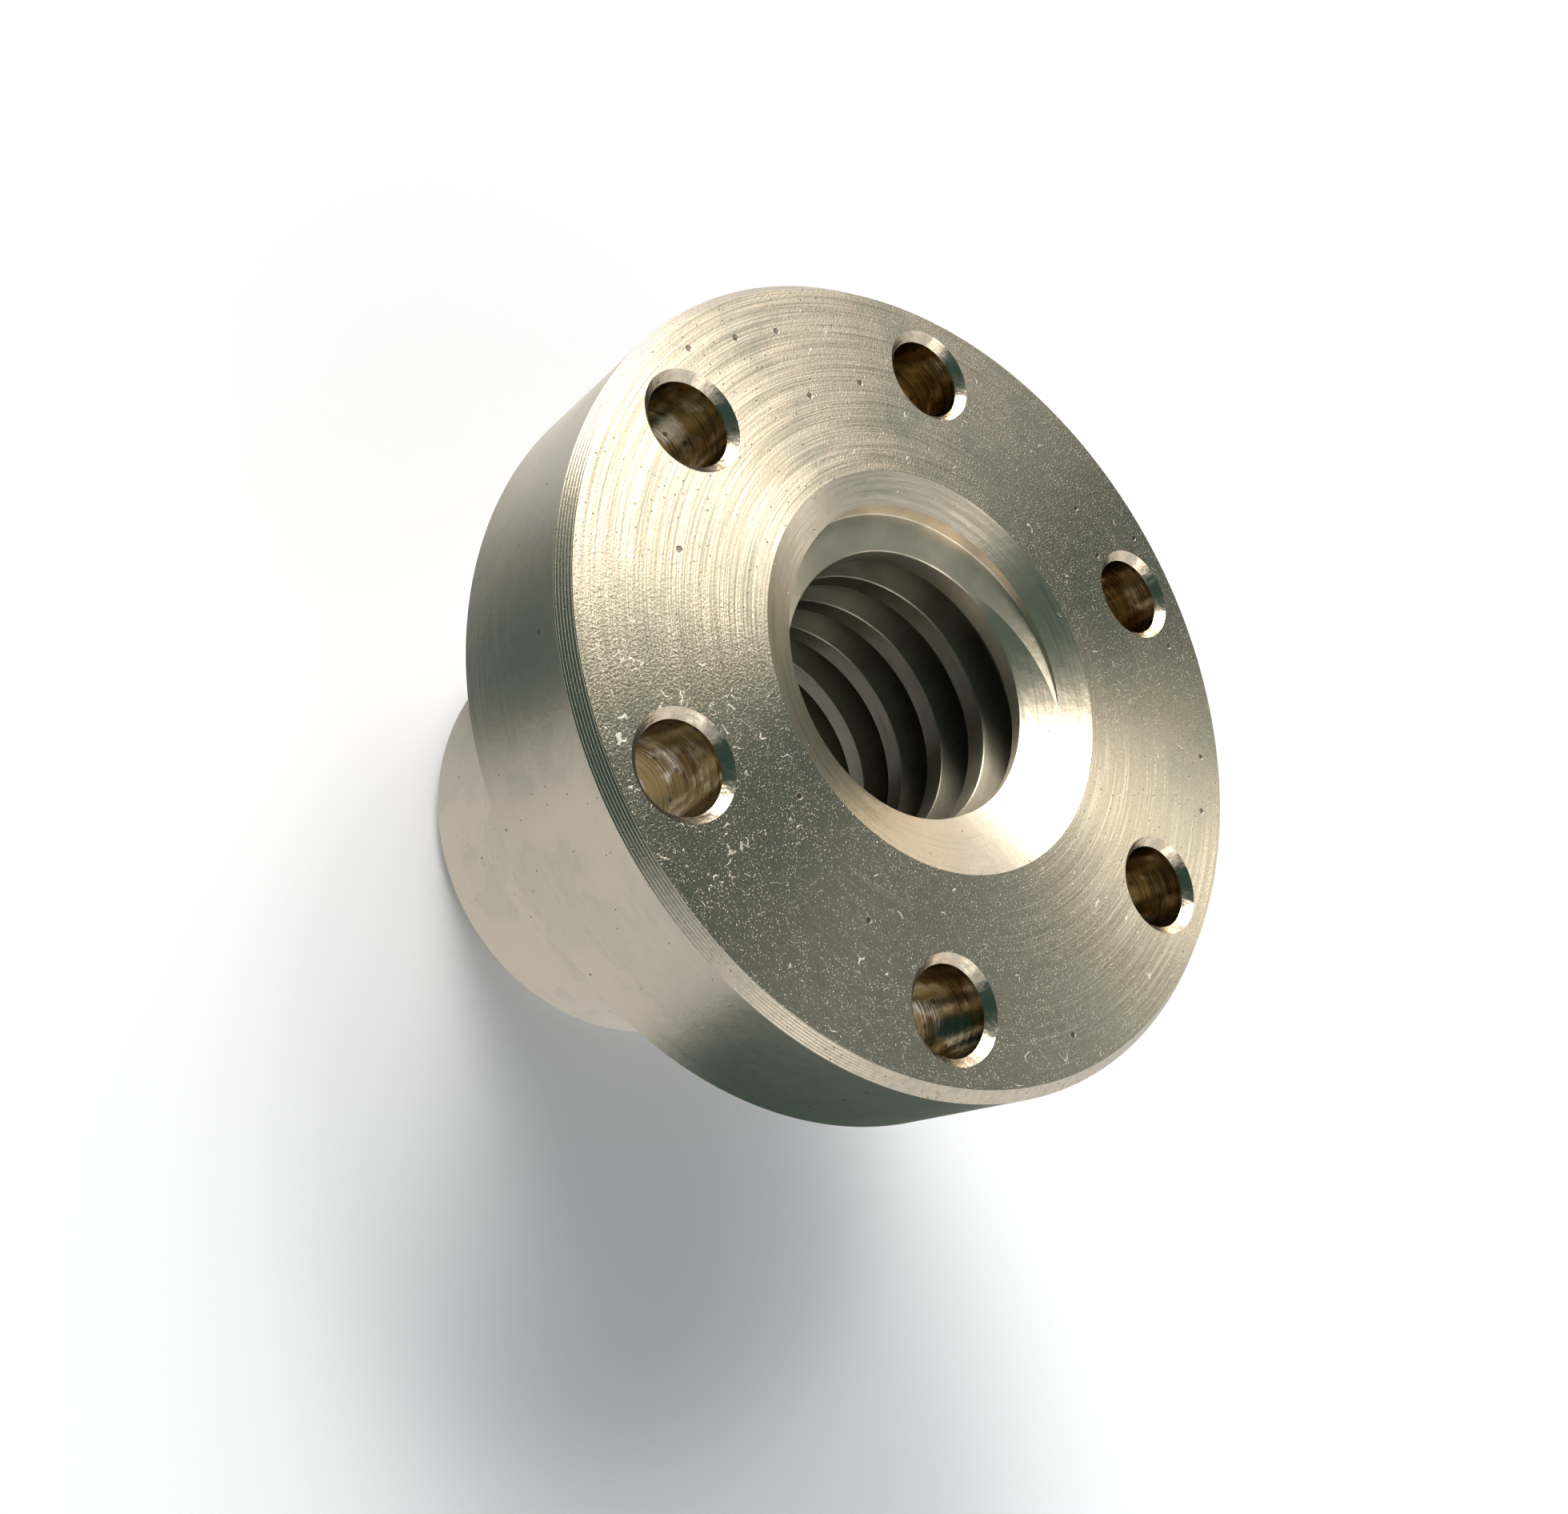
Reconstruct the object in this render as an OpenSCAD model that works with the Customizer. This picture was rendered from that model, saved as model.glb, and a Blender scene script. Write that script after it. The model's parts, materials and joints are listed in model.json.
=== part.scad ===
// Flanged nut for a trapezoidal lead screw, turned from one piece of bronze.
// The axis is Z. The flange's seat, which bolts to a bracket, is the plane z = 0, the mouth looks
// along +Z and the nut stands on its body end. Holes and seat are concentric with the thread.

/* [Thread] */
// Nominal diameter of the trapezoidal thread, the outside diameter of its screw
thread_d = 26; // [20:1:34]
// Distance along the axis from one turn of the thread to the next
pitch = 5; // [3:0.5:7]
// Hand of the thread: 1 is right-hand, -1 is left-hand
hand = -1; // [-1, 1]
// Radial gap between the screw's crest and the root of the nut's groove
root_clearance = 0.25; // [0.15:0.05:0.5]
// Angle round the axis at which the middle of the groove reaches the mouth face
thread_phase = 29; // [0:1:359]

/* [Body] */
// Wall between the thread's nominal diameter and the outside of the body
body_wall = 6; // [4:0.5:12]
// Length of the nut, from the mouth face to the body end
nut_length = 45; // [30:1:80]
// Width of the 45 degree chamfer round the body end
body_chamfer = 1; // [0.3:0.1:2]

/* [Flange] */
// Width of the seat, from the body out to the rim of the flange
flange_ledge = 12; // [10:0.5:20]
// Thickness of the flange
flange_t = 14; // [8:0.5:20]
// Height of the chamfer on the mouth side of the rim, along the axis
rim_chamfer_h = 1; // [0.3:0.1:2]
// Width of the same chamfer, across the mouth face
rim_chamfer_w = 0.8; // [0.3:0.1:2]
// Width of the 45 degree chamfer on the seat side of the rim
seat_chamfer = 0.7; // [0.3:0.1:2]
// Radius that the turning tool leaves in the corner between the seat and the body
seat_fillet = 0.4; // [0.2:0.1:1]

/* [Thread ends] */
// Width of the face that the mouth's countersink takes outside the groove's root
mouth_ledge = 2.2; // [0.5:0.1:4]
// Full angle of the mouth's countersink
mouth_angle = 120; // [60:5:130]
// Width of the body-end face that the thread's chamfer takes outside the groove's root
tail_ledge = 0.5; // [0.2:0.1:2]
// Full angle of the thread's chamfer at the body end
tail_angle = 90; // [60:5:130]

/* [Screw holes] */
// Number of screw holes through the flange, evenly spaced
hole_count = 6; // [3:1:8]
// Clearance diameter of a screw hole
hole_d = 6.4; // [3.4:0.1:8]
// Width of the 45 degree chamfer at both ends of a screw hole
hole_chamfer = 0.65; // [0.2:0.05:1.5]

/* [Hidden] */
$fn = 120;
bite = 0.5;                 // how far a cutting shape passes the face that it opens
groove_steps = 36;          // flats in one turn of the groove
turned_sectors = 3;         // equal sectors that the turned shape is revolved in
sector_lap = 6;             // degrees by which each of them runs on into the next
flank_angle = 15;           // each flank's lean from square to the axis, half the 30 degree thread angle

root_r = thread_d / 2 + root_clearance;
crest_r = (thread_d - pitch) / 2;
mean_r = thread_d / 2 - pitch / 4;
body_r = thread_d / 2 + body_wall;
flange_r = body_r + flange_ledge;
hole_circle_r = body_r + flange_ledge / 2;

mouth_z = flange_t;
tail_z = mouth_z - nut_length;
mouth_r = root_r + mouth_ledge;
mouth_depth = (mouth_r - crest_r) / tan(mouth_angle / 2);
tail_r = root_r + tail_ledge;
tail_depth = (tail_r - crest_r) / tan(tail_angle / 2);

// Width of the groove at radius r: half a pitch at the mean radius, narrowing towards the root
function groove_width(r) = pitch / 2 - 2 * (r - mean_r) * tan(flank_angle);

// Corners of the groove as [radius, height above its middle], from the bore side round the root
cutter_r = crest_r - bite;
groove_section = [
    [cutter_r, groove_width(cutter_r) / 2],
    [root_r, groove_width(root_r) / 2],
    [root_r, -groove_width(root_r) / 2],
    [cutter_r, -groove_width(cutter_r) / 2]
];

// Direction round the axis of the groove's middle at height z
function groove_angle(z) = thread_phase + hand * 360 * (z - mouth_z) / pitch;

// The groove's corners set out round the axis at height z
function groove_ring(z) = [
    for (corner = groove_section)
        [corner[0] * cos(groove_angle(z)), corner[0] * sin(groove_angle(z)), z + corner[1]]
];

// One solid swept along the helix, from a pitch below the body end to a pitch above the mouth
module thread_groove() {
    corners = len(groove_section);
    rings = ceil((nut_length + 2 * pitch) / pitch * groove_steps);
    start_z = tail_z - pitch;
    points = [for (i = [0:rings]) each groove_ring(start_z + i * pitch / groove_steps)];
    sides = [
        for (i = [0:rings - 1], j = [0:corners - 1])
            let (k = (j + 1) % corners, low = i * corners, high = low + corners)
            each [[low + j, low + k, high + k], [low + j, high + k, high + j]]
    ];
    ends = [[3, 2, 1, 0], [for (j = [0:corners - 1]) rings * corners + j]];
    outward = concat(sides, ends);
    // A right-hand sweep mirrors the left-hand one, so its faces turn the other way
    faces = hand < 0 ? outward : [for (face = outward) [for (j = [len(face) - 1:-1:0]) face[j]]];
    polyhedron(points, faces, convexity = 10);
}

// Half of the turned shape, with the bore at the thread's crest and both ends opened out
module turned_profile() {
    fillet_r = body_r + seat_fillet;
    difference() {
        polygon([
            [crest_r, tail_z + tail_depth],
            [crest_r, mouth_z - mouth_depth],
            [mouth_r, mouth_z],
            [flange_r - rim_chamfer_w, mouth_z],
            [flange_r, mouth_z - rim_chamfer_h],
            [flange_r, seat_chamfer],
            [flange_r - seat_chamfer, 0],
            [fillet_r, 0],
            [fillet_r, -seat_fillet],
            [body_r, -seat_fillet],
            [body_r, tail_z + body_chamfer],
            [body_r - body_chamfer, tail_z],
            [tail_r, tail_z]
        ]);
        translate([fillet_r, -seat_fillet]) circle(seat_fillet);
    }
}

// The turned shape before threading and drilling. It is revolved in sectors that overlap, so that
// no wall of it is a single face that closes on itself.
module turned_blank() {
    sector = 360 / turned_sectors;
    for (i = [0:turned_sectors - 1])
        rotate([0, 0, i * sector]) rotate_extrude(angle = sector + sector_lap) turned_profile();
}

// One screw hole through the flange, with a chamfer at the seat and at the mouth face
module screw_hole() {
    wide_d = hole_d + 2 * hole_chamfer;
    translate([0, 0, -bite]) cylinder(d = hole_d, h = flange_t + 2 * bite);
    translate([0, 0, flange_t - hole_chamfer])
        cylinder(d1 = hole_d, d2 = wide_d + 2 * bite, h = hole_chamfer + bite);
    translate([0, 0, -bite]) cylinder(d1 = wide_d + 2 * bite, d2 = hole_d, h = hole_chamfer + bite);
}

module nut() {
    color([0.73, 0.69, 0.61])
    difference() {
        turned_blank();
        thread_groove();
        for (i = [0:hole_count - 1])
            rotate([0, 0, 90 + i * 360 / hole_count]) translate([hole_circle_r, 0, 0]) screw_hole();
    }
}

nut();
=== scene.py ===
import json
import math

import bmesh
import bpy
import numpy as np
from mathutils import Matrix, Vector


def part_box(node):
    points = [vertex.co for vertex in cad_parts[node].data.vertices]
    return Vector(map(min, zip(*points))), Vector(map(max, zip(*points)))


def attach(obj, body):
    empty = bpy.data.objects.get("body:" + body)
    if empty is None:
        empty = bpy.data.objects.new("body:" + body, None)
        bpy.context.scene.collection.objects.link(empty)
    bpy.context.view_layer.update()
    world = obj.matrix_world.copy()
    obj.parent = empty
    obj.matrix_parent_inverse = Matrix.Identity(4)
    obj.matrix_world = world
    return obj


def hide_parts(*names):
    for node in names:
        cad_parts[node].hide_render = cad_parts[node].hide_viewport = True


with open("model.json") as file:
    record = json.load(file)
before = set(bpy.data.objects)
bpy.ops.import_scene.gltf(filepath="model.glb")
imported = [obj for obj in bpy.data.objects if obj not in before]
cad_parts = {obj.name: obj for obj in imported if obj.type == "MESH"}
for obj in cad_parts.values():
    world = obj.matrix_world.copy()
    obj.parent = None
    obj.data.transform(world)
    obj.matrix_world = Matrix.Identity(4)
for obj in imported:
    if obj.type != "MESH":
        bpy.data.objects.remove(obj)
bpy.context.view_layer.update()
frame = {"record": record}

# ---- Sizes, in metres. The record and the box of the CAD part give what they hold. ----

MM = 0.001
PER_METRE = 1 / MM
mounts = {mount["name"]: mount for mount in frame["record"]["mounts"]}
lowest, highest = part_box("nut")

FLANGE_R = max(highest.x, highest.y)
MOUTH_Z = highest.z
TAIL_Z = lowest.z
BODY_R = mounts["body"]["dims"]["r_mm"] * MM
CREST_R = mounts["thread"]["dims"]["r_mm"] * MM
HOLE_COUNT = mounts["screw_holes"]["dims"]["count"]
HOLE_R = mounts["screw_holes"]["dims"]["hole_r_mm"] * MM
HOLE_CIRCLE_R = mounts["screw_holes"]["dims"]["pcd_mm"] / 2 * MM
FIRST_HOLE = math.radians(90)           # direction of the first screw hole from the axis

# The rest repeats the values of part.scad, which the record doesn't hold
PITCH = 5 * MM
HAND = -1                               # left-hand thread
CLIMB = HAND * PITCH / (2 * math.pi)    # height gained for each radian round the axis
THREAD_PHASE = math.radians(29)         # where the middle of the groove reaches the mouth face
FLANK_ANGLE = math.radians(15)
ROOT_CLEARANCE = 0.25 * MM
MOUTH_LEDGE = 2.2 * MM
MOUTH_HALF_ANGLE = math.radians(60)
TAIL_LEDGE = 0.5 * MM
ROOT_R = CREST_R + PITCH / 2 + ROOT_CLEARANCE
MEAN_R = CREST_R + PITCH / 4
MOUTH_R = ROOT_R + MOUTH_LEDGE
MOUTH_DEPTH = (MOUTH_R - CREST_R) / math.tan(MOUTH_HALF_ANGLE)
TAIL_R = ROOT_R + TAIL_LEDGE
TAIL_DEPTH = TAIL_R - CREST_R           # the chamfer at the body end is at 45 degrees
RIM_CHAMFER_H = 1.0 * MM
RIM_CHAMFER_W = 0.8 * MM
SEAT_CHAMFER = 0.7 * MM
SEAT_FILLET = 0.4 * MM
BODY_CHAMFER = 1.0 * MM
HOLE_CHAMFER = 0.65 * MM

# Small shapes that the CAD part leaves out
SHARP_EDGE = 0.06 * MM                  # radius that deburring leaves on an outside edge
CREST_EDGE = 0.08 * MM                  # width of the broken edge of the thread's crest
ROOT_CORNER = 0.2 * MM                  # radius in the corners of the thread's root
CHAMFER_LINES = 6                       # turns of the tool that show across the rim's chamfer
LINE_DEPTH = 0.016 * MM
LINE_SHARPNESS = 5                      # power that narrows each line from a plain wave
RIDGED = "chamfer"                      # the finish of the side that has these lines

BITE = 0.5 * MM                         # how far a cutting shape passes the face that it opens
SPARE_HELIX = 1.6 * PITCH               # how far the groove runs past each end of the nut
WELD = 0.0001 * MM                      # vertices nearer than this become one
ON_AXIS = 1e-9                          # smallest radius that a normal is worked out at
NO_TURN = 1e-6                          # below this, a section's corner goes straight on

TURNED_STEPS = 360                      # steps in one turn
THREAD_STEPS = 120
DRILLED_STEPS = 72
ARC_STEPS = 3                           # steps in one rounded corner
LINE_STEPS = 10                         # steps across one line of the rim's chamfer

# ---- Surfaces: each one knows its normal, and how far along its section a point lies ----


class Surface:
    """One turned, drilled or threaded surface. Its section is (radius, height) about its own axis."""

    def __init__(self, finish, normal, along, centre=(0.0, 0.0), rate=0.0):
        self.finish = finish
        self.normal = normal            # (radius, height) to the section's normal
        self.along = along              # (radius, height) to the distance along the section
        self.centre = centre
        self.rate = rate                # climb of the section for each radian round the axis


def straight(start, end, finish, **place):
    """A section's straight side. The normal is to the left of its direction."""
    step = (end - start).normalized()
    return Surface(
        finish,
        lambda r, z: (-step.y, step.x),
        lambda r, z: r * step.x + z * step.y,
        **place,
    )


def rounded(middle, sign, direction, finish, **place):
    """A section's rounded corner: an outside one with sign 1, an inside one with sign -1."""
    def normal(r, z):
        out = Vector((r - middle.x, z - middle.y)).normalized() * sign
        return (out.x, out.y)
    return Surface(finish, normal, lambda r, z: r * direction.x + z * direction.y, **place)


def ridged(start, end, lines, depth, finish, **place):
    """A section's straight side with the narrow round grooves of a coarse feed."""
    step = (end - start).normalized()
    left = Vector((-step.y, step.x))
    length = (end - start).length

    def groove(t):
        return (1 - math.cos(2 * math.pi * lines * t)) / 2

    def slope(t):
        steepness = LINE_SHARPNESS * depth * math.pi * lines / length
        return -steepness * groove(t) ** (LINE_SHARPNESS - 1) * math.sin(2 * math.pi * lines * t)

    def normal(r, z):
        t = (Vector((r, z)) - start).dot(step) / length
        out = (left - step * slope(t)).normalized()
        return (out.x, out.y)

    surface = Surface(finish, normal, lambda r, z: r * step.x + z * step.y, **place)
    count = lines * LINE_STEPS
    points = []
    for i in range(1, count):
        t = i / count
        points.append(start + step * (length * t) - left * depth * groove(t) ** LINE_SHARPNESS)
    return surface, points


def round_off(before, here, after, rounding):
    """Where a corner's rounding starts and ends, and its middle, sign, sweep and first direction."""
    into = (here - before).normalized()
    away = (after - here).normalized()
    turn = into.cross(away)
    if rounding == 0 or abs(turn) < NO_TURN:
        return here, here, None
    half = math.atan2(abs(turn), into.dot(away)) / 2
    setback = rounding * math.tan(half)
    start = here - into * setback
    side = 1 if turn > 0 else -1
    left = Vector((-into.y, into.x))
    return start, here + away * setback, (start + left * side * rounding, -side, 2 * half, into)


def arc_points(start, arc, number):
    """Points of a rounded corner, each with the corner's surface number, up to but not its end."""
    middle, sign, sweep, _ = arc
    spoke = start - middle
    points = []
    for k in range(ARC_STEPS):
        turned = Matrix.Rotation(-sign * sweep * k / ARC_STEPS, 2) @ spoke
        points.append((middle + turned, number))
    return points


def section(corners, surfaces, **place):
    """Turns corners (radius, height, rounding, finish of the side that starts there) into points.

    Each point carries the number of the surface that starts at it. New surfaces go on the list.
    """
    count = len(corners)
    places = [Vector(corner[:2]) for corner in corners]
    ends = []
    for i, corner in enumerate(corners):
        ends.append(round_off(places[i - 1], places[i], places[(i + 1) % count], corner[2]))
    points = []
    for i, (_, _, _, finish) in enumerate(corners):
        start, end, arc = ends[i]
        if arc:
            middle, sign, _, into = arc
            surfaces.append(rounded(middle, sign, into, finish, **place))
            points += arc_points(start, arc, len(surfaces) - 1)
        side_end = ends[(i + 1) % count][0]
        ridge = []
        if finish == RIDGED:
            surface, ridge = ridged(end, side_end, CHAMFER_LINES, LINE_DEPTH, finish, **place)
        else:
            surface = straight(end, side_end, finish, **place)
        surfaces.append(surface)
        points += [(point, len(surfaces) - 1) for point in [end, *ridge]]
    return points


# ---- The nut's mesh: a turned blank, less the helical groove, less the screw holes ----


def mesh_object(name, vertices, faces, numbers):
    """A closed mesh whose faces carry the number of their surface as their material index."""
    mesh = bpy.data.meshes.new(name)
    mesh.from_pydata(vertices, [], faces)
    mesh.polygons.foreach_set("material_index", numbers)
    work = bmesh.new()
    work.from_mesh(mesh)
    bmesh.ops.remove_doubles(work, verts=work.verts, dist=WELD)
    bmesh.ops.recalc_face_normals(work, faces=work.faces)
    work.to_mesh(mesh)
    work.free()
    made = bpy.data.objects.new(name, mesh)
    bpy.context.scene.collection.objects.link(made)
    return made


def grid_faces(rings, width, points, closed):
    """Quads between rings of points, with the number of the surface that each lies on."""
    faces, numbers = [], []
    for i in range(rings if closed else rings - 1):
        low, high = i * width, (i + 1) % rings * width
        for j in range(width):
            k = (j + 1) % width
            faces.append((low + j, low + k, high + k, high + j))
            numbers.append(points[j][1])
    return faces, numbers


def revolve(name, points, steps, centre=(0.0, 0.0)):
    """Turns a closed section round the vertical line through centre."""
    vertices = []
    for i in range(steps):
        angle = 2 * math.pi * i / steps
        for point, _ in points:
            vertices.append((
                centre[0] + point.x * math.cos(angle),
                centre[1] + point.x * math.sin(angle),
                point.y,
            ))
    faces, numbers = grid_faces(steps, len(points), points, closed=True)
    return mesh_object(name, vertices, faces, numbers)


def groove_height(angle):
    """Height of the groove's middle at an angle round the axis, counted through all its turns."""
    return MOUTH_Z + (angle - THREAD_PHASE) * CLIMB


def sweep_groove(name, points):
    """Sweeps the groove's section along the helix, from below the body end to above the mouth."""
    turns = (MOUTH_Z - TAIL_Z + 2 * SPARE_HELIX) / PITCH
    rings = math.ceil(turns * THREAD_STEPS) + 1
    first = THREAD_PHASE + (TAIL_Z - SPARE_HELIX - MOUTH_Z) / CLIMB
    vertices = []
    for i in range(rings):
        angle = first + HAND * 2 * math.pi * i / THREAD_STEPS
        for point, _ in points:
            vertices.append((
                point.x * math.cos(angle),
                point.x * math.sin(angle),
                groove_height(angle) + point.y,
            ))
    width = len(points)
    faces, numbers = grid_faces(rings, width, points, closed=False)
    start_cap = tuple(range(width))[::-1]
    end_cap = tuple((rings - 1) * width + j for j in range(width))
    faces += [start_cap, end_cap]
    numbers += [points[0][1]] * 2
    return mesh_object(name, vertices, faces, numbers)


def blank_section(surfaces):
    """Half of the turned shape, from the bore round the mouth and the outside to the body end."""
    edge = SHARP_EDGE
    return section([
        (CREST_R, TAIL_Z + TAIL_DEPTH, 0, "thread"),
        (CREST_R, MOUTH_Z - MOUTH_DEPTH, 0, "countersink"),
        (MOUTH_R, MOUTH_Z, edge, "face"),
        (FLANGE_R - RIM_CHAMFER_W, MOUTH_Z, edge / 2, "chamfer"),
        (FLANGE_R, MOUTH_Z - RIM_CHAMFER_H, edge, "side"),
        (FLANGE_R, SEAT_CHAMFER, edge, "side"),
        (FLANGE_R - SEAT_CHAMFER, 0.0, edge, "back"),
        (BODY_R, 0.0, SEAT_FILLET, "side"),
        (BODY_R, TAIL_Z + BODY_CHAMFER, edge, "side"),
        (BODY_R - BODY_CHAMFER, TAIL_Z, edge, "back"),
        (TAIL_R, TAIL_Z, edge, "countersink"),
    ], surfaces)


def groove_section(surfaces):
    """The thread's groove, with its mouth opened out so that the crest's edges come out broken."""
    def half(r):
        return PITCH / 4 - (r - MEAN_R) * math.tan(FLANK_ANGLE)
    edge_r = CREST_R + CREST_EDGE
    open_r = CREST_R - CREST_EDGE
    wide = half(edge_r) + edge_r - open_r
    return section([
        (ROOT_R, -half(ROOT_R), ROOT_CORNER, "thread"),
        (ROOT_R, half(ROOT_R), ROOT_CORNER, "thread"),
        (edge_r, half(edge_r), 0, "thread"),
        (open_r, wide, 0, "thread"),
        (open_r, -wide, 0, "thread"),
        (edge_r, -half(edge_r), 0, "thread"),
    ], surfaces, rate=CLIMB)


def hole_section(surfaces, centre):
    """Half of a screw hole's cutting shape, with a chamfer at both ends."""
    wide = HOLE_R + HOLE_CHAMFER + BITE
    edge = SHARP_EDGE
    return section([
        (0.0, MOUTH_Z + BITE, 0, "drilled"),
        (0.0, -BITE, 0, "drilled"),
        (wide, -BITE, 0, "hole_edge"),
        (HOLE_R, HOLE_CHAMFER, edge, "drilled"),
        (HOLE_R, MOUTH_Z - HOLE_CHAMFER, edge, "hole_edge"),
        (wide, MOUTH_Z + BITE, 0, "drilled"),
    ], surfaces, centre=centre)


def cut(target, cutter):
    """Subtracts cutter from target, keeping each face's surface number."""
    tool = target.modifiers.new("cut", "BOOLEAN")
    tool.operation = "DIFFERENCE"
    tool.solver = "EXACT"
    tool.material_mode = "INDEX"
    tool.object = cutter
    graph = bpy.context.evaluated_depsgraph_get()
    mesh = bpy.data.meshes.new_from_object(target.evaluated_get(graph))
    target.modifiers.remove(tool)
    target.data = mesh
    bpy.data.objects.remove(cutter)


def finish_mesh(mesh, surfaces):
    """Gives every corner of the mesh its true normal and the attributes that the materials read."""
    count = len(mesh.loops)
    normals = np.zeros((count, 3))
    along = np.zeros(count, np.float32)
    axis = np.zeros((count, 3), np.float32)
    finishes = sorted({surface.finish for surface in surfaces})
    for polygon in mesh.polygons:
        surface = surfaces[polygon.material_index]
        for k in polygon.loop_indices:
            x, y, z = mesh.vertices[mesh.loops[k].vertex_index].co
            x -= surface.centre[0]
            y -= surface.centre[1]
            r = max(math.hypot(x, y), ON_AXIS)
            height = z
            if surface.rate:
                height = z - groove_height(math.atan2(y, x))
                height -= round(height / PITCH) * PITCH
            out, up = surface.normal(r, height)
            turn = -up * surface.rate / r
            normals[k] = (out * x / r - turn * y / r, out * y / r + turn * x / r, up)
            along[k] = surface.along(r, height)
            axis[k] = (*surface.centre, 0)
        polygon.use_smooth = True
        polygon.material_index = finishes.index(surface.finish)
    normals /= np.linalg.norm(normals, axis=1)[:, None]
    mesh.attributes.new("along", "FLOAT", "CORNER").data.foreach_set("value", along)
    mesh.attributes.new("axis", "FLOAT_VECTOR", "CORNER").data.foreach_set("vector", axis.ravel())
    mesh.normals_split_custom_set(normals.tolist())
    return finishes


def make_nut():
    """The nut, and the sorted names of the finishes that its faces' material indices stand for."""
    surfaces = []
    nut = revolve("nut_turned", blank_section(surfaces), TURNED_STEPS)
    groove = sweep_groove("groove", groove_section(surfaces))
    holes = []
    for i in range(HOLE_COUNT):
        angle = FIRST_HOLE + 2 * math.pi * i / HOLE_COUNT
        centre = (HOLE_CIRCLE_R * math.cos(angle), HOLE_CIRCLE_R * math.sin(angle))
        points = hole_section(surfaces, centre)
        holes.append(revolve(f"hole_{i + 1}", points, DRILLED_STEPS, centre))
    for made in [nut, groove, *holes]:
        while len(made.data.materials) < len(surfaces):
            made.data.materials.append(None)
    cut(nut, groove)
    for hole in holes:
        cut(nut, hole)
    return nut, finish_mesh(nut.data, surfaces)


# ---- Node helpers ----


def put(tree, kind, inputs=None, output=0, **settings):
    """Adds a node, sets it up, links or fills its inputs, and returns one of its outputs."""
    node = tree.nodes.new(kind)
    for name, value in settings.items():
        setattr(node, name, value)
    for name, value in (inputs or {}).items():
        if isinstance(value, bpy.types.NodeSocket):
            tree.links.new(value, node.inputs[name])
        else:
            node.inputs[name].default_value = value
    return node.outputs[output] if node.outputs else None


def calc(tree, operation, *values):
    return put(tree, "ShaderNodeMath", dict(enumerate(values)), operation=operation)


def add(tree, *values):
    total = values[0]
    for value in values[1:]:
        total = calc(tree, "ADD", total, value)
    return total


def times(tree, *values):
    total = values[0]
    for value in values[1:]:
        total = calc(tree, "MULTIPLY", total, value)
    return total


def vector(tree, operation, *values, output=0):
    return put(tree, "ShaderNodeVectorMath", dict(enumerate(values)), output, operation=operation)


def attribute(tree, name, output):
    """Reads one of the attributes that finish_mesh writes."""
    return put(tree, "ShaderNodeAttribute", output=output, attribute_name=name)


def new_material(name):
    """A material with an empty node tree."""
    material = bpy.data.materials.new(name)
    material.use_nodes = True
    tree = material.node_tree
    tree.nodes.clear()
    return material, tree


# ---- Materials. Textures are laid out in millimetres, in the nut's own coordinates. ----

BUMP_DEPTH = 0.02 * MM                  # the depth of a height of one in a material's bump
SCRATCH_SCALE = (0.22, 7.0, 1.0)        # per mm, along and across a scratch and into the metal
BRONZE = (0.64, 0.555, 0.43, 1.0)
# Painted light: a paler copy of the bronze for the cones and the thread's mouth
LIT_BRONZE = (0.84, 0.735, 0.58, 1.0)
TARNISH = (0.40, 0.40, 0.32, 1.0)
DARK_SPOT = (0.08, 0.07, 0.05, 1.0)
# Painted reflection: the drilled walls' pale gold and deep gold stand in for what they reflect and for
# light bounced between them
PALE_GOLD_REFLECTION = (0.68, 0.62, 0.50, 1.0)
GOLDEN_REFLECTION = (0.30, 0.21, 0.08, 1.0)
# Painted shade: a darker copy of the bronze for the thread deep in the bore
SHADED_THREAD_BRONZE = (0.30, 0.275, 0.215, 1.0)
# Pale colour of lint and dust, and of the painted glints on the mouth face
LINT_AND_GLINT = (0.78, 0.75, 0.66, 1.0)


def millimetres(tree):
    """Where a point lies in its object's own coordinates, in mm."""
    place = put(tree, "ShaderNodeTexCoord", output="Object")
    return vector(tree, "MULTIPLY", place, (PER_METRE, PER_METRE, PER_METRE))


def noise(tree, place, per_mm, detail=2.0, roughness=0.5):
    return put(tree, "ShaderNodeTexNoise", {
        "Vector": place,
        "Scale": per_mm,
        "Detail": detail,
        "Roughness": roughness,
    }, output="Fac")


def ramp(tree, value, low, high, to_low=0.0, to_high=1.0):
    """Value, carried smoothly from low..high to to_low..to_high and held there outside."""
    return put(tree, "ShaderNodeMapRange", {
        "Value": value,
        "From Min": low,
        "From Max": high,
        "To Min": to_low,
        "To Max": to_high,
    }, interpolation_type="SMOOTHSTEP")


MIX_FACTOR, MIX_A, MIX_B = 0, 6, 7     # a Mix node's sockets for two colours
MIX_RESULT = 2


def mix_colour(tree, factor, a, b):
    values = {MIX_FACTOR: factor, MIX_A: a, MIX_B: b}
    return put(tree, "ShaderNodeMix", values, MIX_RESULT, data_type="RGBA")


def spots(tree, place, per_mm, share, size):
    """Round spots of about size mm, in a share of the cells of a grid with per_mm cells to the mm."""
    values = {"Vector": place, "Scale": per_mm}
    away = put(tree, "ShaderNodeTexVoronoi", values, "Distance", voronoi_dimensions="2D")
    rank = put(tree, "ShaderNodeSeparateColor", {"Color": away.node.outputs["Color"]}, output="Red")
    kept = calc(tree, "LESS_THAN", rank, share)
    edge, core = size * per_mm * 0.5, size * per_mm * 0.3
    return times(tree, kept, ramp(tree, away, edge, core))


def patch(tree, place, centre, reach):
    """One in the middle third of a round patch about centre, fading to zero at reach (both in mm)."""
    away = vector(tree, "DISTANCE", place, centre, output="Value")
    return ramp(tree, away, reach, reach * 0.35)


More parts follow.
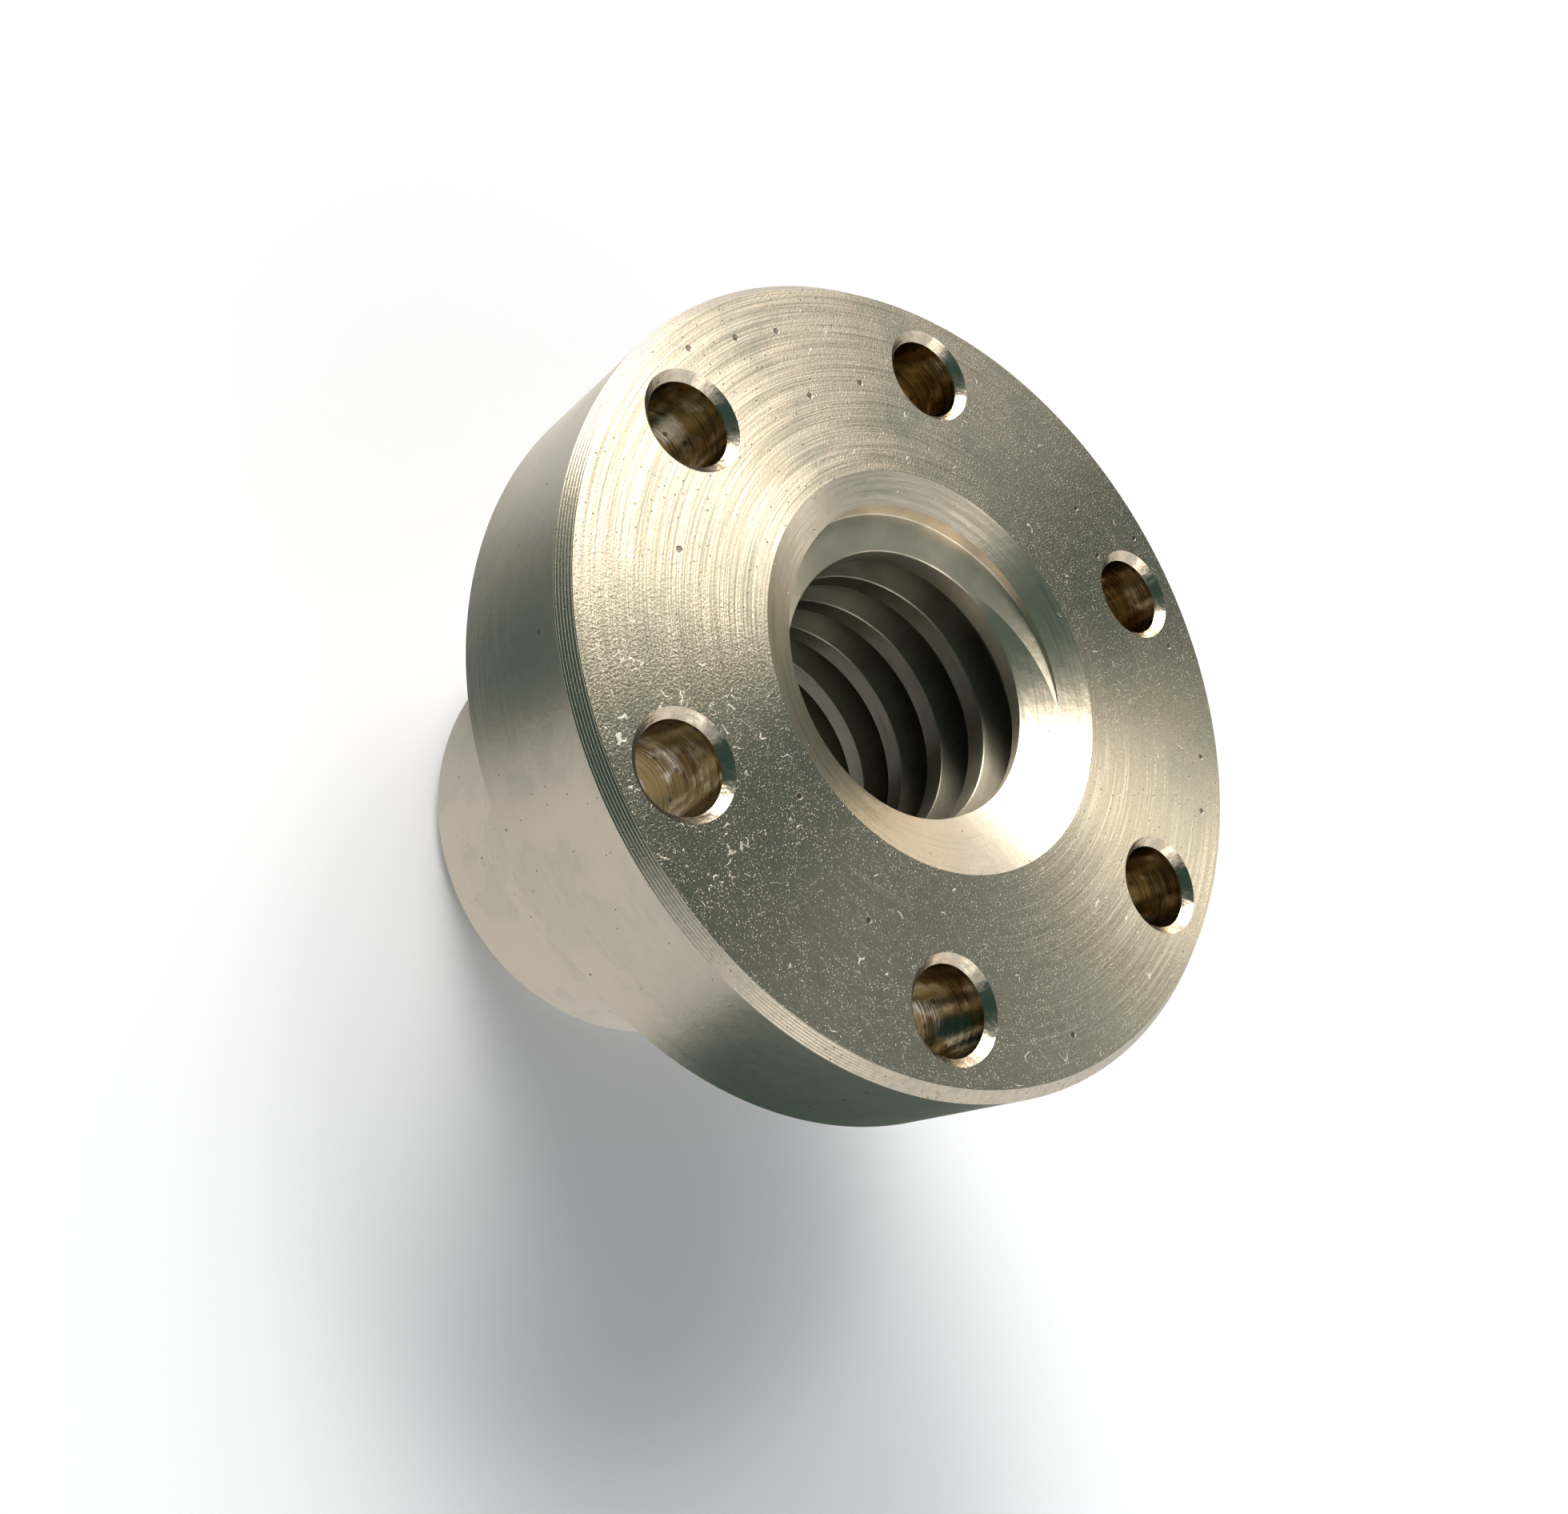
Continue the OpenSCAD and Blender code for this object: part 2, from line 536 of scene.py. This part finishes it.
def fibres(tree, place, per_mm, width, share, length):
    """Short curled fibres: the contour lines of a noise, broken up and shown only within some spots."""
    level = calc(tree, "SUBTRACT", noise(tree, place, per_mm, detail=0.0), 0.5)
    edge, core = width * per_mm, width * per_mm * 0.4
    line = ramp(tree, calc(tree, "ABSOLUTE", level), edge, core)
    gaps = ramp(tree, noise(tree, place, per_mm * 1.7, detail=0.0), 0.47, 0.53)
    return times(tree, line, gaps, spots(tree, place, 0.7 / length, share, length))


def scratches(tree, place, angle, share):
    """Fine straight scratches at one angle (degrees) on the face, over a share of it."""
    turned = put(tree, "ShaderNodeVectorRotate", {
        "Vector": place,
        "Axis": (0, 0, 1),
        "Angle": math.radians(angle),
    }, rotation_type="AXIS_ANGLE")
    drawn_out = vector(tree, "MULTIPLY", turned, SCRATCH_SCALE)
    streak = noise(tree, drawn_out, 1.0, detail=1.0)
    return ramp(tree, streak, 1 - share, 1.05 - share)


class Turned:
    """Where a point lies round a turned surface's axis and along its section, for a material."""

    def __init__(self, tree):
        self.tree = tree
        place = put(tree, "ShaderNodeTexCoord", output="Object")
        normal = put(tree, "ShaderNodeTexCoord", output="Normal")
        self.spoke = vector(tree, "SUBTRACT", place, attribute(tree, "axis", "Vector"))
        round_axis = vector(tree, "CROSS_PRODUCT", (0, 0, 1), self.spoke)
        self.along = calc(tree, "MULTIPLY", attribute(tree, "along", "Fac"), PER_METRE)
        self.normal = self.to_world(normal)
        across = vector(tree, "CROSS_PRODUCT", normal, round_axis)
        self.tangent = self.to_world(vector(tree, "NORMALIZE", across))

    def to_world(self, value):
        return put(self.tree, "ShaderNodeVectorTransform", {"Vector": value},
                   vector_type="VECTOR", convert_from="OBJECT", convert_to="WORLD")

    def unrolled(self):
        """Millimetres round the axis and along the section."""
        x = put(self.tree, "ShaderNodeSeparateXYZ", {"Vector": self.spoke}, output="X")
        y = put(self.tree, "ShaderNodeSeparateXYZ", {"Vector": self.spoke}, output="Y")
        angle = calc(self.tree, "ARCTAN2", y, x)
        flat = vector(self.tree, "MULTIPLY", self.spoke, (PER_METRE, PER_METRE, 0))
        radius = vector(self.tree, "LENGTH", flat, output="Value")
        return put(self.tree, "ShaderNodeCombineXYZ", {
            "X": calc(self.tree, "MULTIPLY", angle, radius),
            "Y": self.along,
        })

    def lines(self, feed, broken=3.0, detail=2.0):
        """Irregular lines round the axis, feed mm apart, from -0.5 to 0.5."""
        heading = vector(self.tree, "NORMALIZE", self.spoke)
        heading = vector(self.tree, "MULTIPLY", heading, (broken, broken, 0))
        level = calc(self.tree, "DIVIDE", self.along, feed)
        level = put(self.tree, "ShaderNodeCombineXYZ", {"Z": level})
        place = vector(self.tree, "ADD", heading, level)
        level = noise(self.tree, place, 1.0, detail, roughness=0.6)
        return calc(self.tree, "SUBTRACT", level, 0.5)

    def tilt(self, slope):
        """The normal, leant along the section by a slope."""
        lean = put(self.tree, "ShaderNodeVectorMath", {
            0: self.tangent,
            "Scale": slope,
        }, operation="SCALE")
        return vector(self.tree, "NORMALIZE", vector(self.tree, "ADD", self.normal, lean))


def metal(name, roughness, anisotropy, dress):
    """A turned metal. Its dress gives colour, slope, height, added roughness and the share of lint and
    painted glints.
    """
    material, tree = new_material(name)
    turned = Turned(tree)
    place = millimetres(tree)
    colour, slope, height, rough, lint_and_glints = dress(tree, turned, place)
    if lint_and_glints:
        colour = mix_colour(tree, lint_and_glints, colour, LINT_AND_GLINT)
    normal = put(tree, "ShaderNodeBump", {
        "Height": height,
        "Strength": 1.0,
        "Distance": BUMP_DEPTH,
        "Normal": turned.tilt(slope),
    })
    shader = put(tree, "ShaderNodeBsdfPrincipled", {
        "Base Color": colour,
        "Metallic": calc(tree, "SUBTRACT", 1.0, lint_and_glints) if lint_and_glints else 1.0,
        "Roughness": calc(tree, "ADD", rough, roughness),
        "Anisotropic": anisotropy,
        "Tangent": turned.tangent,
        "Normal": normal,
    })
    put(tree, "ShaderNodeOutputMaterial", {"Surface": shader})
    return material


# Places on the mouth face, in mm: the middles of four small heaps of lint, and of two wide patches
FACE_Z = 14.0
LINT_HEAPS = [
    (-6.5, -25.9, FACE_Z),
    (-3.7, -23.4, FACE_Z),
    (-2.4, -20.0, FACE_Z),
    (7.3, -26.4, FACE_Z),
]
DUSTY_PLACE = (-4.5, -24.0, FACE_Z)
RUBBED_PLACE = (15.0, -20.0, FACE_Z)


def face_lint_and_glints(tree, place, mottle, grain):
    """Curled fibres and dust that lie on the mouth face, thickest round one of its screw holes, and
    pale specks that paint glints on its mottled parts.
    """
    dusty = patch(tree, place, DUSTY_PLACE, reach=17.0)
    heaps = add(tree, *[patch(tree, place, heap, reach=1.9) for heap in LINT_HEAPS])
    curls = times(tree, fibres(tree, place, per_mm=1.6, width=0.034, share=1.0, length=1.3), heaps)
    loose = times(tree, fibres(tree, place, per_mm=1.4, width=0.026, share=0.40, length=1.0), dusty)
    stray = fibres(tree, place, per_mm=1.1, width=0.022, share=0.16, length=1.1)
    amount = ramp(tree, dusty, 0.0, 1.0, to_low=0.4, to_high=1.8)
    dust = times(tree, spots(tree, place, per_mm=3.4, share=0.30, size=0.07), grain, amount)
    # Painted glints: pale specks that stand in for the sparkle of the turned metal
    painted_glints = ramp(tree, noise(tree, place, per_mm=8.0, detail=0.0), 0.62, 0.76, to_high=0.30)
    dust_and_glint_specks = add(tree, dust, times(tree, painted_glints, ramp(tree, mottle, 0.42, 0.62)))
    lint_and_glints = add(tree, curls, times(tree, loose, 0.8), times(tree, stray, 0.7), dust_and_glint_specks)
    return calc(tree, "MINIMUM", lint_and_glints, 1.0)


def face_dress(tree, turned, place):
    """The mouth face: fine turning lines, dull patches, pits, scratches, lint and painted glints."""
    lines = turned.lines(feed=0.11, broken=2.5, detail=1.0)
    coarse = turned.lines(feed=0.45, broken=1.5, detail=1.0)
    grain = noise(tree, place, per_mm=5.0, detail=2.0)
    clouds = noise(tree, place, per_mm=0.12, detail=5.0, roughness=0.65)
    patina = ramp(tree, clouds, 0.40, 0.70)
    mottle = noise(tree, place, per_mm=1.6, detail=4.0, roughness=0.7)
    dull = add(tree, times(tree, patina, mottle, 1.5), times(tree, lines, 0.55))
    pits = spots(tree, place, per_mm=0.22, share=0.22, size=0.55)
    fine_pits = spots(tree, place, per_mm=1.3, share=0.16, size=0.16)
    lint_and_glints = face_lint_and_glints(tree, place, mottle, grain)
    rubbed = patch(tree, place, RUBBED_PLACE, reach=13.0)
    rubs = times(tree, scratches(tree, place, angle=28, share=0.38), rubbed)
    crossed = scratches(tree, place, angle=-52, share=0.34)
    slope = add(tree, times(tree, lines, 0.7), times(tree, coarse, 0.05))
    slope = add(tree, slope, times(tree, rubs, 0.32), times(tree, crossed, 0.08))
    colour = mix_colour(tree, dull, BRONZE, TARNISH)
    colour = mix_colour(tree, times(tree, add(tree, pits, fine_pits), 0.75), colour, DARK_SPOT)
    sunk = add(tree, times(tree, pits, -2.0), times(tree, fine_pits, -1.0))
    height = add(tree, times(tree, mottle, 0.7), times(tree, grain, 0.9), sunk, times(tree, lint_and_glints, 1.5))
    rough = add(tree, times(tree, dull, 0.10), times(tree, lint_and_glints, 0.4))
    return colour, slope, height, rough, lint_and_glints


def side_dress(tree, turned, place):
    """The rim, the body and the seat: faint lines, small dark spots and stains with darker edges."""
    flat = turned.unrolled()
    lines = turned.lines(feed=0.30, broken=2.0)
    clouds = noise(tree, place, per_mm=0.07, detail=5.0, roughness=0.6)
    patina = ramp(tree, clouds, 0.42, 0.64)
    mottle = noise(tree, place, per_mm=1.2, detail=4.0, roughness=0.65)
    dots = spots(tree, flat, per_mm=0.28, share=0.16, size=0.26)
    fine = spots(tree, flat, per_mm=0.9, share=0.06, size=0.13)
    from_edge = calc(tree, "ABSOLUTE", calc(tree, "SUBTRACT", patina, 0.5))
    edge = ramp(tree, from_edge, 0.22, 0.0)
    stain = add(tree, times(tree, patina, 0.35), times(tree, edge, mottle, 0.30))
    dull = add(tree, stain, times(tree, lines, 0.40))
    colour = mix_colour(tree, dull, BRONZE, TARNISH)
    colour = mix_colour(tree, times(tree, add(tree, dots, fine), 0.85), colour, DARK_SPOT)
    slope = times(tree, lines, 0.09)
    height = add(tree, mottle, times(tree, fine, -1.0))
    rough = times(tree, mottle, 0.05)
    return colour, slope, height, rough, None


def countersink_dress(tree, turned, place):
    """The turned cones at both ends of the thread: fine lines and a few dull streaks, on a paler copy
    of the bronze that paints light on them.
    """
    flat = turned.unrolled()
    mottle = noise(tree, place, per_mm=1.0, detail=3.0, roughness=0.6)
    streaks = turned.lines(feed=0.5, broken=2.0, detail=1.0)
    pits = spots(tree, flat, per_mm=0.7, share=0.14, size=0.18)
    dull = ramp(tree, streaks, 0.0, 0.3, to_high=0.4)
    colour = mix_colour(tree, dull, LIT_BRONZE, TARNISH)
    colour = mix_colour(tree, times(tree, pits, 0.7), colour, DARK_SPOT)
    slope = add(tree, times(tree, turned.lines(feed=0.2), 0.2), times(tree, streaks, 0.10))
    height = add(tree, mottle, times(tree, pits, -1.5))
    rough = times(tree, mottle, 0.06)
    return colour, slope, height, rough, None


def chamfer_dress(tree, turned, place):
    """The rim's chamfer, between the coarse grooves that the tool leaves in it."""
    flat = turned.unrolled()
    mottle = noise(tree, place, per_mm=2.2, detail=3.0, roughness=0.65)
    pits = spots(tree, flat, per_mm=1.6, share=0.22, size=0.13)
    dull = ramp(tree, mottle, 0.4, 0.7, to_low=0.1, to_high=0.7)
    colour = mix_colour(tree, dull, BRONZE, TARNISH)
    colour = mix_colour(tree, times(tree, pits, 0.75), colour, DARK_SPOT)
    slope = times(tree, turned.lines(feed=0.12, broken=6.0), 0.08)
    height = add(tree, times(tree, mottle, 0.5), times(tree, pits, -1.5))
    rough = times(tree, mottle, 0.10)
    return colour, slope, height, rough, None


def drilled_dress(tree, turned, place):
    """The drilled walls: clouds of pale and deep gold that paint their reflections, with dark streaks
    and spots that the coolant left.
    """
    flat = turned.unrolled()
    streaks = ramp(tree, turned.lines(feed=0.22, broken=1.5), 0.0, 0.22)
    clouds = noise(tree, place, per_mm=0.28, detail=3.0, roughness=0.55)
    # Painted reflection: random clouds between pale and deep gold, in place of the walls' reflections
    painted_reflection_clouds = ramp(tree, clouds, 0.40, 0.54)
    drops = spots(tree, flat, per_mm=0.6, share=0.40, size=0.5)
    dark = times(tree, streaks, ramp(tree, painted_reflection_clouds, 0.0, 1.0, to_low=0.15, to_high=0.9))
    colour = mix_colour(tree, painted_reflection_clouds, PALE_GOLD_REFLECTION, GOLDEN_REFLECTION)
    colour = mix_colour(tree, dark, colour, DARK_SPOT)
    colour = mix_colour(tree, times(tree, drops, 0.8), colour, DARK_SPOT)
    slope = times(tree, turned.lines(feed=0.12, broken=1.2), 0.25)
    height = times(tree, noise(tree, place, per_mm=3.0), 0.4)
    rough = times(tree, painted_reflection_clouds, 0.08)
    return colour, slope, height, rough, None


def edge_dress(tree, turned, place):
    """The chamfers of the screw holes: bright, and slightly rippled by the countersinking tool."""
    ripple = noise(tree, place, per_mm=1.1)
    dull = ramp(tree, ripple, 0.45, 0.7, to_high=0.35)
    colour = mix_colour(tree, dull, BRONZE, TARNISH)
    slope = times(tree, turned.lines(feed=0.15, broken=5.0), 0.3)
    height = times(tree, ripple, 4.0)
    rough = times(tree, ripple, 0.08)
    return colour, slope, height, rough, None


# Heights in mm between which the thread goes from painted shade deep in the bore to the paler bronze at
# the mouth
UNSHADED_ABOVE = 11.5
SHADED_BELOW = 8.5


def thread_dress(tree, turned, place):
    """The thread: smooth flanks with a few dull patches, pale at the mouth and darkened with painted
    shade further into the bore.
    """
    clouds = noise(tree, place, per_mm=0.3, detail=3.0)
    level = put(tree, "ShaderNodeSeparateXYZ", {"Vector": place}, output="Z")
    # Painted shade: the thread's colour darkens from the mouth into the bore, where shade falls
    unshaded_toward_mouth = ramp(tree, level, SHADED_BELOW, UNSHADED_ABOVE)
    depth_shaded_bronze = mix_colour(tree, unshaded_toward_mouth, SHADED_THREAD_BRONZE, LIT_BRONZE)
    colour = mix_colour(tree, ramp(tree, clouds, 0.35, 0.7, to_high=0.5), depth_shaded_bronze, TARNISH)
    slope = times(tree, turned.lines(feed=0.3, broken=1.5), 0.12)
    height = times(tree, noise(tree, place, per_mm=1.2), 0.8)
    rough = times(tree, clouds, 0.08)
    return colour, slope, height, rough, None


# Each finish: roughness, anisotropy (which spreads a highlight across the tool's lines) and dress
FINISHES = {
    "face": (0.33, 0.889, face_dress),
    "side": (0.26, 0.648, side_dress),
    "back": (0.28, 0.70, side_dress),
    "chamfer": (0.22, 0.50, chamfer_dress),
    "countersink": (0.27, 0.60, countersink_dress),
    "drilled": (0.14, 0.40, drilled_dress),
    "hole_edge": (0.22, 0.60, edge_dress),
    "thread": (0.32, 0.80, thread_dress),
}


def dress_mesh(mesh, finishes):
    """Gives the mesh one material for each finish. Emptying its slots resets the faces' numbers."""
    numbers = np.zeros(len(mesh.polygons), np.int32)
    mesh.polygons.foreach_get("material_index", numbers)
    mesh.materials.clear()
    for finish in finishes:
        mesh.materials.append(metal(finish, *FINISHES[finish]))
    mesh.polygons.foreach_set("material_index", numbers)


# ---- Camera, at the photograph's viewing angle ----

VIEW_AZIMUTH = math.radians(3.755)
VIEW_ELEVATION = math.radians(48.788)
VIEW_ROLL = math.radians(63.27)
VIEW_DISTANCE = 103.475 * MM
VIEW_TARGET = (1.823 * MM, -17.311 * MM, MOUTH_Z)
LENS = 36.53                            # focal length in mm, on Blender's 36 mm sensor
CLIP_NEAR = 1 * MM
CLIP_FAR = 10


def direction(azimuth, elevation):
    """Unit vector at an azimuth and elevation in radians, with azimuth 0 along -Y and 90 along +X."""
    level = math.cos(elevation)
    return Vector((math.sin(azimuth) * level, -math.cos(azimuth) * level, math.sin(elevation)))


def make_camera():
    back = direction(VIEW_AZIMUTH, VIEW_ELEVATION)
    data = bpy.data.cameras.new("camera")
    data.lens = LENS
    data.clip_start = CLIP_NEAR
    data.clip_end = CLIP_FAR
    camera = bpy.data.objects.new("camera", data)
    upright = (-back).to_track_quat("-Z", "Y").to_matrix()
    roll = Matrix.Rotation(VIEW_ROLL, 3, "Z")
    camera.matrix_world = (upright @ roll).to_4x4()
    camera.location = Vector(VIEW_TARGET) + back * VIEW_DISTANCE
    bpy.context.scene.collection.objects.link(camera)
    bpy.context.scene.camera = camera


# ---- Studio: a pale room with soft lights and dark flags, and a pale floor with dark cards of painted shade ----

# Each light or flag: azimuth and elevation as seen from the nut, in degrees, with azimuth 0 towards
# -Y and 90 towards +X, then its spread in degrees, then a light's strength or the share of the room
# that a flag hides. A share over 1 hides the middle fully and widens it.
SOFT_LIGHTS = [
    (-105, 30, 8, 29.0),
    (-120, 60, 5, 15.0),
    (-90, 15, 8, 4.0),
    (-105, 0, 7, 3.3),
    (75, 45, 8, 2.9),
    (-150, 45, 8, 2.1),
    (-146, 57, 4, 2.2),
    (169, 23, 4, 4.0),
    (-128, 25, 8, 2.8),
    (120, 15, 13, 0.45),
    (115, 30, 50, 0.06),
]
DARK_FLAGS = [
    (-180, 15, 12, 1.3),
    (-75, 45, 32, 0.93),
    (165, 45, 13, 1.1),
    (60, 75, 22, 0.74),
    (-75, 72, 18, 0.9),
    (-40, 57, 16, 0.8),
    (-20, 27, 19, 2.2),
    (-48, 20, 20, 2.0),
    (150, 33, 12, 0.45),
    (140, 57, 11, 0.2),
    (165, 72, 10, 0.5),
    (-50, 70, 12, 0.6),
    (-145, 72, 8, 1.0),
    (-170, 48, 7, 0.5),
]
# Dark cards on the floor, which only reflections show: painted shade for the nut's contact shadow and
# dark surroundings. x, y and reach in mm, and the share that they hide, as above
FLOOR_SHADE_CARDS = [
    (56, -14, 16, 4.0),
    (58, 6, 16, 4.0),
    (54, -34, 12, 2.4),
    (-40, -52, 20, 1.8),
    (-55, -30, 14, 0.5),
    (-30, -5, 13, 1.9),
]
FLOOR_R = 3.0                           # in metres
FLOOR_STEPS = 64
ROOM = (0.80, 0.80, 0.82, 1.0)
LAMP = (1.0, 0.94, 0.87, 1.0)
FLAG = (0.01, 0.055, 0.052, 1.0)        # dark green, as the dark reflections in the photo are
FLOOR = (0.84, 0.87, 0.93, 1.0)


def make_floor():
    work = bmesh.new()
    bmesh.ops.create_circle(work, cap_ends=True, segments=FLOOR_STEPS, radius=FLOOR_R)
    mesh = bpy.data.meshes.new("floor")
    work.to_mesh(mesh)
    work.free()
    floor = bpy.data.objects.new("floor", mesh)
    floor.location.z = TAIL_Z
    bpy.context.scene.collection.objects.link(floor)
    mesh.materials.append(floor_material())


def floor_material():
    """A pale floor. Reflections and clear materials see it evenly lit, with the dark cards of painted
    shade on it.
    """
    material, tree = new_material("floor")
    place = millimetres(tree)
    shade_cards = []
    # Painted shade: dark patches on the floor that only reflections see
    for x, y, reach, share in FLOOR_SHADE_CARDS:
        away = vector(tree, "DISTANCE", place, (x, y, 0), output="Value")
        away = calc(tree, "DIVIDE", away, reach)
        fall = calc(tree, "EXPONENT", times(tree, away, away, -1.0))
        shade_cards.append(times(tree, fall, share))
    hidden = calc(tree, "MINIMUM", add(tree, *shade_cards), 1.0)
    seen = mix_colour(tree, hidden, ROOM, FLAG)
    reflected = put(tree, "ShaderNodeEmission", {"Color": seen, "Strength": 1.0})
    lit = put(tree, "ShaderNodeBsdfDiffuse", {"Color": FLOOR})
    glossy = put(tree, "ShaderNodeLightPath", output="Is Glossy Ray")
    clear = put(tree, "ShaderNodeLightPath", output="Is Transmission Ray")
    either = calc(tree, "MAXIMUM", glossy, clear)
    shader = put(tree, "ShaderNodeMixShader", {0: either, 1: lit, 2: reflected})
    put(tree, "ShaderNodeOutputMaterial", {"Surface": shader})
    return material


def glow(tree, look, places):
    """The sum of soft round patches on the sky, each (azimuth, elevation, spread, strength)."""
    patches = []
    for azimuth, elevation, spread, strength in places:
        middle = direction(math.radians(azimuth), math.radians(elevation))
        facing = vector(tree, "DOT_PRODUCT", look, middle, output="Value")
        sharpness = 1 / math.radians(spread) ** 2
        fall = times(tree, calc(tree, "SUBTRACT", facing, 1.0), sharpness)
        patches.append(times(tree, calc(tree, "EXPONENT", fall), strength))
    return add(tree, *patches)


def make_world():
    """The pale room. The camera sees it plain, without the lights and flags."""
    world = bpy.data.worlds.new("studio")
    world.use_nodes = True
    tree = world.node_tree
    tree.nodes.clear()
    look = put(tree, "ShaderNodeTexCoord", output="Generated")
    hidden = calc(tree, "MINIMUM", glow(tree, look, DARK_FLAGS), 1.0)
    room = mix_colour(tree, hidden, ROOM, FLAG)
    pale = put(tree, "ShaderNodeBackground", {"Color": room, "Strength": 1.0})
    lights = put(tree, "ShaderNodeBackground", {
        "Color": LAMP,
        "Strength": glow(tree, look, SOFT_LIGHTS),
    })
    both = put(tree, "ShaderNodeAddShader", {0: pale, 1: lights})
    plain = put(tree, "ShaderNodeBackground", {"Color": ROOM, "Strength": 1.0})
    camera_ray = put(tree, "ShaderNodeLightPath", output="Is Camera Ray")
    seen = put(tree, "ShaderNodeMixShader", {0: camera_ray, 1: both, 2: plain})
    put(tree, "ShaderNodeOutputWorld", {"Surface": seen})
    bpy.context.scene.world = world


# ---- The scene ----

make_camera()
nut, finishes = make_nut()
dress_mesh(nut.data, finishes)
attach(nut, "root")
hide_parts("nut")
make_floor()
make_world()

bpy.context.scene.view_settings.view_transform = "Standard"
bpy.context.view_layer.update()
